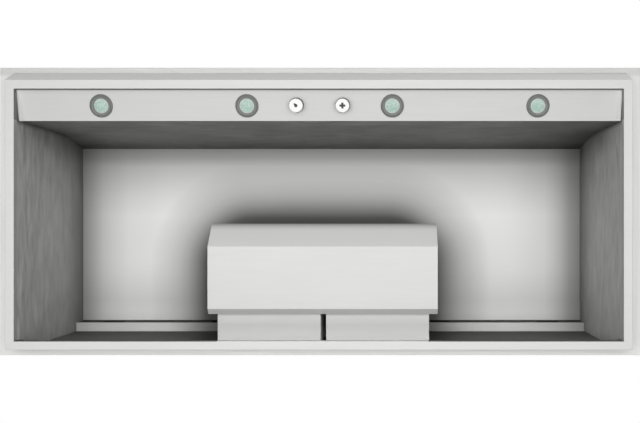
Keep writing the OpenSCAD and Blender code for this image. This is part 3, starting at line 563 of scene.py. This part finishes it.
panelTilt = math.atan2(-joints["fan_knob_turn"]["axis"][1], joints["fan_knob_turn"]["axis"][2])
panelMiddle = Vector(joints["fan_knob_turn"]["pos_m"])
upPanel = Vector((0, math.cos(panelTilt), math.sin(panelTilt)))


def onPanel(x, back=0):
    # Z = 0 on the visible face, +Z into the hood, +Y up the panel
    return at(x, panelMiddle.y, panelMiddle.z) @ Matrix.Rotation(panelTilt, 4, "X") @ at(0, back, 0)


# lamps: a pressed ring with two grooves and a sleeve, and a domed glass disc with a pale rim
lamp = {"outerMm": 54.4, "lensMm": 35, "proudMm": 2.6, "lipMm": 2.0, "seatMm": 1.4, "sleeveMm": 1.4,
        "sleeveHighMm": 10, "lensThickMm": 2.6, "underLipMm": 1.3, "groovesMm": (22.6, 24.3), "grooveMm": 0.5,
        "domeMm": 0.5, "paleFrom": 0.83}
outer, lens, proud = lamp["outerMm"] / 2, lamp["lensMm"] / 2, lamp["proudMm"]
low = lamp["lipMm"] - proud
ringOutline = [(lens, -1.9), (lens + 0.35, -2.35), (lens + 1.0, -proud)]
for groove in lamp["groovesMm"]:
    ringOutline += [(groove - 0.5, -proud), (groove, lamp["grooveMm"] - proud), (groove + 0.5, -proud)]
ringOutline += [(outer - 1.9, -proud), (outer - 0.9, -2.25), (outer - 0.25, -1.5), (outer, -0.7), (outer, 0.0)]
sleeve = lens + lamp["seatMm"] + lamp["sleeveMm"]
sleeveInside = sleeve - lamp["sleeveMm"]
ringOutline += [(sleeve, 0), (sleeve, lamp["sleeveHighMm"]), (sleeveInside, lamp["sleeveHighMm"]),
                (sleeveInside, low), (lens, low)]
edge, top = lens + lamp["underLipMm"], low + lamp["lensThickMm"]
discOutline = [(0, low - lamp["domeMm"]), (lens * 0.5, low - lamp["domeMm"] * 0.8), (lens * 0.85, low - 0.15),
               (lens - 0.3, low), (edge, low), (edge, top), (0, top)]
pale = lens * lamp["paleFrom"]
paleOutline = [(pale, low - 0.1), (pale + 0.2, low - 0.4), (lens - 1, low - 0.35), (lens - 0.2, low - 0.1),
               (lens - 0.2, low + 0.5), (pale, low + 0.5)]
# piece, outline, sides, finish, slot, the node that it replaces, crease in degrees
lampPieces = (("bezelRing", ringOutline, 96, "bezel", "bezel_grey", "lamp_bezel_", 30),
              ("lensDisc", discOutline, 64, "glass", "lens_glass", "lamp_lens_", 50),
              ("lensRim", paleOutline, 64, "glassRim", "lens_glass", None, 30))
for index in range(1, 5):
    lensMiddle = middle(f"lamp_lens_{index}")
    place = onPanel(lensMiddle.x, (lensMiddle - panelMiddle).dot(upPanel))
    for piece, outline, sides, finish, slotName, stem, crease in lampPieces:
        mesh = bmesh.new()
        turn(mesh, inMetres(outline), place, sides)
        carry(f"{piece}{index}", mesh, finish, "hood", [f"{stem}{index}"] if stem else (), crease)
print("lamps made")


# knobs: a white cap on a fluted skirt, whose dark grey is painted shade round the knob's side

knob = {"radiusMm": 17.4, "capMm": 16.2, "highMm": 15, "capHighMm": 3.4, "gapMm": 0.8, "stemMm": 4, "stemInMm": 16,
        "edgeMm": 1.6, "edgeSteps": 6, "capSides": 96, "flutes": 30, "fluteMm": 0.4, "fluted": (4, 5),
        "skirtSides": 240, "creaseDeg": 45}
radius, cap, edge, stem = knob["radiusMm"], knob["capMm"], knob["edgeMm"], knob["stemMm"]
faceMm = -knob["gapMm"] - knob["highMm"]
shoulder, foot = faceMm + knob["capHighMm"], -knob["gapMm"]
capOutline = [(0, faceMm), (cap - edge - 3, faceMm)]
for step in range(knob["edgeSteps"] + 1):
    angle = math.pi / 2 * step / knob["edgeSteps"]
    capOutline.append((cap - edge + edge * math.sin(angle), faceMm + edge * (1 - math.cos(angle))))
capOutline += [(cap, shoulder), (stem, shoulder), (stem, knob["stemInMm"]), (0, knob["stemInMm"])]
skirtOutline = [(stem + 0.2, shoulder + 0.02), (cap - 1, shoulder + 0.02), (cap - 0.4, shoulder - 0.5),
                (cap + 0.2, shoulder - 0.4), (cap + 0.5, shoulder + 0.2), (radius, foot - 2.4), (radius, foot - 0.4),
                (radius - 0.4, foot), (radius - 2, foot), (radius - 2, foot - 3), (stem + 0.2, foot - 3)]


def flute(index, angle):
    # only the widest part of the skirt is fluted
    if index in knob["fluted"]:
        return -knob["fluteMm"] * mm * (0.5 - 0.5 * math.cos(knob["flutes"] * angle))
    return 0


for name, body in (("fan_knob", "fan_knob_group"), ("light_knob", "light_knob_group")):
    place = onPanel(middle(name).x)
    mesh = bmesh.new()
    turn(mesh, inMetres(capOutline), place, knob["capSides"])
    carry(name.replace("_k", "K") + "Cap", mesh, "knob", body, [name], knob["creaseDeg"])
    mesh = bmesh.new()
    turn(mesh, inMetres(skirtOutline), place, knob["skirtSides"], flute)
    carry(name.replace("_k", "K") + "Skirt", mesh, "skirt", body, (), knob["creaseDeg"])

# marks printed on the caps: a drop that points to the front left, and a plus
mark = {"headMm": 3.8, "tipMm": 8.0, "headSteps": 24, "turnDeg": 50, "plusMm": 6.8, "barMm": 2.5, "thickMm": 0.3,
        "sinkMm": 0.05, "edgeMm": 0.1, "edgeSteps": 2, "creaseDeg": 40}
head, tip, arm, bar = mark["headMm"], mark["tipMm"], mark["plusMm"], mark["barMm"]
tangent = math.acos(head / tip)
drop = [(-tip, 0)]
for step in range(mark["headSteps"] + 1):
    angle = math.pi - tangent - (2 * math.pi - 2 * tangent) * step / mark["headSteps"]
    drop.append((head * math.cos(angle), head * math.sin(angle)))
plus = [(bar, bar), (bar, arm), (-bar, arm), (-bar, bar), (-arm, bar), (-arm, -bar), (-bar, -bar), (-bar, -arm),
        (bar, -arm), (bar, -bar), (arm, -bar), (arm, bar)]
for name, body, outline, turnBy in (("fan_knob", "fan_knob_group", drop, mark["turnDeg"]),
                                    ("light_knob", "light_knob_group", plus, 0)):
    mesh = bmesh.new()
    prism(mesh, inMetres(outline), onPanel(middle(name).x) @ Matrix.Rotation(math.radians(turnBy), 4, "Z"),
          (faceMm - mark["thickMm"]) * mm, (faceMm + mark["sinkMm"]) * mm)
    bevelEdges(mesh, squareEdges(mesh), mark["edgeMm"] * mm, mark["edgeSteps"])
    carry(name.replace("_k", "K") + "Mark", mesh, "print", body, [name + "_mark"], mark["creaseDeg"])
print("knobs made")


# blower wheels: forward curved blades between a back plate and a rolled front ring

wheel = {"blades": 36, "innerMm": 71, "bladeMm": 0.8, "lagDeg": 9, "steps": 6, "footMm": 0.8, "tipInMm": 1.2,
         "plateMm": 7.3, "hubMm": 12, "boreMm": 4.05, "hubLongMm": 22, "ringMm": 4, "clearMm": 0.2,
         "screwAtMm": 16, "screwMm": 3, "sides": 96, "creaseDeg": 35}
plate, hub, bore, hubLong, ring = (wheel[key] for key in ("plateMm", "hubMm", "boreMm", "hubLongMm", "ringMm"))


def bladeOutline(turnBy, outerMm):
    # an arc from the inner to the outer edge, cupped towards the way it turns
    points = []
    lag = math.radians(wheel["lagDeg"])
    for side in (-1, 1):
        for step in list(range(wheel["steps"] + 1))[::-side]:
            share = step / wheel["steps"]
            radius = wheel["innerMm"] + (outerMm - wheel["innerMm"]) * share
            swing = lag * (share - 0.5) ** 2 * 4 - lag * 0.5
            angle = turnBy + swing * 0.5 + side * wheel["bladeMm"] / 2 / radius
            points.append((radius * mm * math.cos(angle), radius * mm * math.sin(angle)))
    return points


for side, word in ((-1, "left"), (1, "right")):
    low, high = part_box("fan_wheel_" + word)
    centre = Vector(joints[f"fan_{word}_spin"]["pos_m"])
    backX = low.x if side > 0 else high.x
    wide = high.x - low.x
    wideMm = wide / mm
    outer = (high.y - low.y) / 2 / mm - wheel["clearMm"]
    place = at(backX, centre.y, centre.z) @ Matrix.Rotation(side * math.pi / 2, 4, "Y")
    mesh = bmesh.new()
    turn(mesh, inMetres([
        (bore, 0), (hub - 1, 0), (hub, 1), (hub, plate), (hub + 6, plate + 1.2), (outer * 0.55, plate + 1.2),
        (outer * 0.62, plate), (outer - 1.0, plate), (outer, plate - 0.6), (outer, plate + 1.4),
        (outer * 0.63, plate + 1.4), (outer * 0.56, plate + 2.6), (hub + 6, plate + 2.6), (hub, plate + 4),
        (hub, hubLong - 1), (hub - 1, hubLong), (bore, hubLong)]), place, wheel["sides"])
    turn(mesh, inMetres([
        (outer - 3, wideMm - ring), (outer - 0.6, wideMm - ring), (outer, wideMm - ring + 0.7),
        (outer, wideMm - 0.8), (outer - 0.8, wideMm), (outer - 2.3, wideMm), (outer - 3, wideMm - 0.7)]),
        place, wheel["sides"])
    for blade in range(wheel["blades"]):
        prism(mesh, bladeOutline(2 * math.pi * blade / wheel["blades"], outer - wheel["tipInMm"]), place,
              plate * mm + wheel["footMm"] * mm, wide - 0.5 * ring * mm)
    hexScrew(mesh, place @ at(0, 0, wheel["screwAtMm"] * mm) @ Matrix.Rotation(math.pi / 2, 4, "Y")
             @ at(0, 0, hub * mm - wheel["clearMm"] * mm), wheel["screwMm"] * mm)
    carry(f"bladeWheel{word.capitalize()}", mesh, "wheel", f"{word}_wheel", ["fan_wheel_" + word],
          wheel["creaseDeg"])
print("blower wheels made")


# duct collars: two rolled beads round each tube

collar = {"radiusMm": 88.5, "beadsMm": (20, 26), "beadMm": 0.9, "beadHalfMm": 1.6, "rootMm": 0.3, "rootHalfMm": 2.0,
          "sinkMm": 0.05, "beadSteps": 6, "sides": 128}
for word in ("left", "right"):
    outer, root = collar["radiusMm"], collar["radiusMm"] - collar["rootMm"]
    mesh = bmesh.new()
    for bead in collar["beadsMm"]:
        outline = [(root, bead - collar["rootHalfMm"])]
        for step in range(collar["beadSteps"] + 1):
            angle = math.pi * (step / collar["beadSteps"] - 0.5)
            outline.append((outer + collar["beadMm"] * math.cos(angle) - collar["sinkMm"],
                            bead + collar["beadHalfMm"] * math.sin(angle)))
        outline.append((root, bead + collar["rootHalfMm"]))
        turn(mesh, inMetres(outline), at(*footOf("duct_collar_" + word)), collar["sides"])
    carry(f"collarBeads{word.capitalize()}", mesh, "zinc", "hood")
print("collars beaded")


# flaps: two ribs pressed up in each

flap = {"topMm": 2.7, "ribMm": 1.3, "ribWideMm": 5, "ribSteps": 8, "ribsXMm": (-26, 26), "ribLongMm": 70,
        "forwardMm": 12, "sinkMm": 0.1}
ribAngles = [math.pi * step / flap["ribSteps"] for step in range(flap["ribSteps"] + 1)]
ribOutline = [(flap["ribWideMm"] / 2 * math.cos(angle) * mm,
               flap["ribMm"] * math.sin(angle) * mm - flap["sinkMm"] * mm) for angle in ribAngles]
for word in ("left", "right"):
    x, y, z = footOf("duct_collar_" + word)
    mesh = bmesh.new()
    for ribX in flap["ribsXMm"]:
        place = at(x + ribX * mm, y - flap["forwardMm"] * mm, z + flap["topMm"] * mm)
        prism(mesh, ribOutline, place @ Matrix.Rotation(math.pi / 2, 4, "X"), -flap["ribLongMm"] / 2 * mm,
              flap["ribLongMm"] / 2 * mm)
    carry(f"flapRibs{word.capitalize()}", mesh, "flap", f"{word}_flap")
print("flaps ribbed")


# screws of the collars

collarScrew = {"count": 6, "circleMm": 100, "flangeMm": 1.2, "sizeMm": 4}
mesh = bmesh.new()
for word in ("left", "right"):
    x, y, z = footOf("duct_collar_" + word)
    for step in range(collarScrew["count"]):
        angle = 2 * math.pi * (step + 0.5) / collarScrew["count"]
        hexScrew(mesh, at(x + collarScrew["circleMm"] * mm * math.cos(angle),
                          y + collarScrew["circleMm"] * mm * math.sin(angle), z + collarScrew["flangeMm"] * mm),
                 collarScrew["sizeMm"] * mm)
carry("collarHexScrews", mesh, "screw", "hood", ["collar_screws"])
print("collars screwed")


# top of the hood: flanges of the outer sheets folded over it, with their screws

topLow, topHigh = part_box("top_panel")
topZ, edgeX = topHigh.z, topHigh.x
topTrim = {"flangeMm": 16, "thickMm": 0.9, "frontInMm": 2, "rearInMm": 1.5, "gapMm": 1, "edgeMm": 0.25,
           "edgeSteps": 2, "screwEveryMm": 150, "screwMm": 3.6}
mesh = bmesh.new()
screws = bmesh.new()


def flange(x0, x1, y0, y1):
    prism(mesh, [(x0, y0), (x1, y0), (x1, y1), (x0, y1)], at(0, 0, topZ), 0, topTrim["thickMm"] * mm)
    alongX = x1 - x0 > y1 - y0
    long, centre = (x1 - x0, (y0 + y1) / 2) if alongX else (y1 - y0, (x0 + x1) / 2)
    count = max(2, round(long / (topTrim["screwEveryMm"] * mm)))
    for step in range(count):
        share = (step + 0.5) / count
        spot = (x0 + long * share, centre) if alongX else (centre, y0 + long * share)
        hexScrew(screws, at(*spot, topZ + topTrim["thickMm"] * mm), topTrim["screwMm"] * mm)


flangeWide, gap = topTrim["flangeMm"] * mm, topTrim["gapMm"] * mm
frontY, rearY = topLow.y + topTrim["frontInMm"] * mm, topHigh.y - topTrim["rearInMm"] * mm
flange(-edgeX, -edgeX + flangeWide, frontY, rearY)
flange(edgeX - flangeWide, edgeX, frontY, rearY)
flange(-edgeX + flangeWide + gap, edgeX - flangeWide - gap, rearY - flangeWide, rearY)
flange(-edgeX + flangeWide + gap, edgeX - flangeWide - gap, frontY, frontY + flangeWide)
bevelEdges(mesh, squareEdges(mesh), topTrim["edgeMm"] * mm, topTrim["edgeSteps"])
carry("topFlanges", mesh, "shell", "hood")
carry("topFlangeScrews", screws, "screw", "hood")

# pressed stiffening beads in the top sheet, between and beside the collars
swage = {"highMm": 2.2, "wideMm": 14, "longMm": 300, "sinkMm": 0.05,
         "placesMm": ((-560, -300), (-420, -300), (0, -300), (420, -300), (560, -300)),
         "shoulder": ((0, 0), (1.6, 0.8), (3.6, 0.97), (5.0, 1.0)), "cornerSteps": 6}
mesh = bmesh.new()
for xMm, yMm in swage["placesMm"]:
    rows = []
    for shrink, rise in swage["shoulder"]:
        outline = roundedOutline((swage["wideMm"] - 2 * shrink) * mm, (swage["longMm"] - 2 * shrink) * mm,
                                 (swage["wideMm"] / 2 - shrink - 0.01) * mm, swage["cornerSteps"])
        height = topZ - swage["sinkMm"] * mm + rise * swage["highMm"] * mm
        rows.append([mesh.verts.new((xMm * mm + x, yMm * mm + y, height)) for x, y in outline])
    for here, there in zip(rows, rows[1:]):
        for index in range(len(here)):
            after = (index + 1) % len(here)
            mesh.faces.new((here[index], here[after], there[after], there[index]))
    mesh.faces.new(rows[-1])
    mesh.faces.new(rows[0][::-1])
carry("topSwages", mesh, "ceiling", "hood")
print("top trimmed")


# cable gland: hexagon base, ribbed cap and rubber seal

gland = {"boreMm": 6.2, "nutMm": 15, "nutHighMm": 6, "capMm": 11, "threadMm": 9.9, "sealMm": (6.0, 6.5),
         "ribs": 16, "ribMm": 0.5, "ribbed": (2, 3)}
low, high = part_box("cable_gland")
x, y, _ = footOf("cable_gland")
place = at(x, y, topZ)
inside, top = (low.z - topZ) / mm, (high.z - topZ) / mm
bore, nut, nutHigh, cap, thread = (gland[key] for key in ("boreMm", "nutMm", "nutHighMm", "capMm", "threadMm"))


def glandRib(index, angle):
    # only the upright part of the cap is ribbed
    if index in gland["ribbed"]:
        return -gland["ribMm"] * mm * (0.5 + 0.5 * math.cos(gland["ribs"] * angle))
    return 0


mesh = bmesh.new()
turn(mesh, inMetres([(bore, 0), (nut - 0.8, 0), (nut, 0.6), (nut, nutHigh - 0.7), (nut - 1, nutHigh),
                     (bore, nutHigh)]), place, 6)
turn(mesh, inMetres([(bore, nutHigh - 0.2), (cap - 0.4, nutHigh - 0.2), (cap, nutHigh + 0.5), (cap, top - 4.5),
                     (cap - 0.8, top - 2), (cap - 2.4, top - 0.4), (cap - 3.4, top), (bore, top)]),
     place, 160, glandRib)
turn(mesh, inMetres([(bore, inside), (thread, inside), (thread, 0.2), (bore, 0.2)]), place, 64)
carry("glandBody", mesh, "gland", "hood", ["cable_gland"], 30)
sealIn, sealOut = gland["sealMm"]
mesh = bmesh.new()
turn(mesh, inMetres([(sealIn, inside + 1), (sealOut, inside + 1), (sealOut, top - 0.8), (sealIn, top - 1.6)]),
     place, 48)
carry("glandSeal", mesh, "rubber", "hood")
print("gland made")


# screws round the inlet mouths

inletScrew = {"count": 6, "insetMm": 5, "sizeMm": 3.2}
mesh = bmesh.new()
for side, word in ((-1, "left"), (1, "right")):
    low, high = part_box("inlet_ring_" + word)
    centreY, centreZ = (low.y + high.y) / 2, (low.z + high.z) / 2
    faceX = high.x if side > 0 else low.x
    reach = (high.y - low.y) / 2 - inletScrew["insetMm"] * mm
    for step in range(inletScrew["count"]):
        angle = 2 * math.pi * (step + 0.5) / inletScrew["count"]
        hexScrew(mesh, at(faceX, centreY + reach * math.cos(angle), centreZ + reach * math.sin(angle))
                 @ Matrix.Rotation(side * math.pi / 2, 4, "Y"), inletScrew["sizeMm"] * mm)
carry("inletScrews", mesh, "screw", "hood")
print("inlets screwed")


# camera, floor and light

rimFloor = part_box("rim_front")[0].z
view = {"lens": 47.6, "sensor": 36, "x": 0.1555, "y": -0.2974, "below": 1.960, "shiftX": -0.103, "shiftY": 0.0289,
        "clipStart": 0.01}
studio = {"floorBelow": 2.06, "floorHalf": 9.0, "floorLight": "#ececea", "floorDark": "#e6e6e4",
          "floorToCamera": 0.5, "floorInMirror": 0.15, "ambient": 0.3, "overhead": 0.6, "fade": (0.1, 0.8)}

cameraData = bpy.data.cameras.new("photoCamera")
cameraData.lens = view["lens"]
cameraData.sensor_width = view["sensor"]
cameraData.shift_x = view["shiftX"]
cameraData.shift_y = view["shiftY"]
cameraData.clip_start = view["clipStart"]
camera = bpy.data.objects.new("photoCamera", cameraData)
camera.location = (view["x"], view["y"], rimFloor - view["below"])
camera.rotation_euler = (math.pi, 0, 0)  # straight up
scene.collection.objects.link(camera)
scene.camera = camera
scene.view_settings.view_transform = "Standard"

# white where the camera looks; metal and glass see the same white, a little darker overhead; the rest is soft light
world = bpy.data.worlds.new("studioWorld")
scene.world = world
world.use_nodes = True
worldTree = world.node_tree
worldTree.nodes.clear()
path = addNode(worldTree, "ShaderNodeLightPath")
mirrored = addNode(worldTree, "ShaderNodeMath", {"operation": "MAXIMUM"},
                   {0: path.outputs["Is Glossy Ray"], 1: path.outputs["Is Transmission Ray"]}).outputs[0]
height = addNode(worldTree, "ShaderNodeSeparateXYZ",
                 links={"Vector": addNode(worldTree, "ShaderNodeTexCoord").outputs["Generated"]}).outputs["Z"]
fadeFrom, fadeTo = studio["fade"]
fade = addNode(worldTree, "ShaderNodeMapRange", {"From Min": fadeFrom, "From Max": fadeTo, "To Min": 1.0,
                                                 "To Max": studio["overhead"]}, {"Value": height}).outputs["Result"]
ambient = addNode(worldTree, "ShaderNodeBackground", {"Color": (1, 1, 1, 1), "Strength": studio["ambient"]})
shown = addNode(worldTree, "ShaderNodeBackground", {"Color": (1, 1, 1, 1), "Strength": 1.0})
reflected = addNode(worldTree, "ShaderNodeBackground", {"Color": (1, 1, 1, 1)}, {"Strength": fade})
inMirror = addNode(worldTree, "ShaderNodeMixShader", links={"Fac": mirrored, 1: ambient.outputs[0],
                                                            2: reflected.outputs[0]})
toCamera = addNode(worldTree, "ShaderNodeMixShader", links={"Fac": path.outputs["Is Camera Ray"],
                                                            1: inMirror.outputs[0], 2: shown.outputs[0]})
addNode(worldTree, "ShaderNodeOutputWorld", links={"Surface": toCamera.outputs[0]})

floorZ = rimFloor - studio["floorBelow"]
half = studio["floorHalf"]
floorMesh = bpy.data.meshes.new("studioFloor")
floorMesh.from_pydata([(-half, -half, floorZ), (half, -half, floorZ), (half, half, floorZ), (-half, half, floorZ)],
                      [], [(0, 1, 2, 3)])
studioFloor = bpy.data.objects.new("studioFloor", floorMesh)
scene.collection.objects.link(studioFloor)
floorPaint, floorTree = newMaterial("matteFloorPaint")
speckle = addNode(floorTree, "ShaderNodeTexNoise", {"Scale": 40.0, "Detail": 2.0})
floorShade = ramp(floorTree, speckle.outputs["Fac"], [(0.0, colour(studio["floorDark"])),
                                                      (1.0, colour(studio["floorLight"]))])
paint = addNode(floorTree, "ShaderNodeBsdfPrincipled", {"Roughness": 0.8}, {"Base Color": floorShade})
floorPath = addNode(floorTree, "ShaderNodeLightPath")
lift = addNode(floorTree, "ShaderNodeMath", {"operation": "MULTIPLY", 1: studio["floorInMirror"]},
               {0: floorPath.outputs["Is Glossy Ray"]})
lift = addNode(floorTree, "ShaderNodeMath", {"operation": "MULTIPLY_ADD", 1: studio["floorToCamera"]},
               {0: floorPath.outputs["Is Camera Ray"], 2: lift.outputs[0]})
glow = addNode(floorTree, "ShaderNodeEmission", {"Color": (1, 1, 1, 1)}, {"Strength": lift.outputs[0]})
paleFloor = addNode(floorTree, "ShaderNodeAddShader", links={0: paint.outputs[0], 1: glow.outputs[0]})
# the hood hangs above eye level, so the floor lets a look from underneath through
oneSided = addNode(floorTree, "ShaderNodeMixShader", links={
    "Fac": addNode(floorTree, "ShaderNodeNewGeometry").outputs["Backfacing"], 1: paleFloor.outputs[0],
    2: addNode(floorTree, "ShaderNodeBsdfTransparent").outputs[0]})
addNode(floorTree, "ShaderNodeOutputMaterial", links={"Surface": oneSided.outputs[0]})
floorMesh.materials.append(floorPaint)


def softbox(name, place, aim, size, power):
    data = bpy.data.lights.new(name, "AREA")
    data.shape = "RECTANGLE"
    data.size, data.size_y = size
    data.energy = power
    light = bpy.data.objects.new(name, data)
    light.location = place
    light.rotation_euler = (Vector(aim) - Vector(place)).to_track_quat("-Z", "Y").to_euler()
    light.visible_camera = False
    scene.collection.objects.link(light)


softboxes = {
    "lowStrip": {"place": (0, -0.32, floorZ + 0.02), "aim": (0, -0.32, 0), "size": (3.6, 2.0), "power": 90},
    "highSoft": {"place": (-1.2, -1.6, 3.2), "aim": (0, -0.3, 0), "size": (2.0, 2.0), "power": 30},
    "frontSoft": {"place": (1.6, -3.4, 0.9), "aim": (0, -0.3, -0.1), "size": (1.6, 1.6), "power": 14},
}
for name, settings in softboxes.items():
    softbox(name, **settings)
print("camera, floor and lights placed")
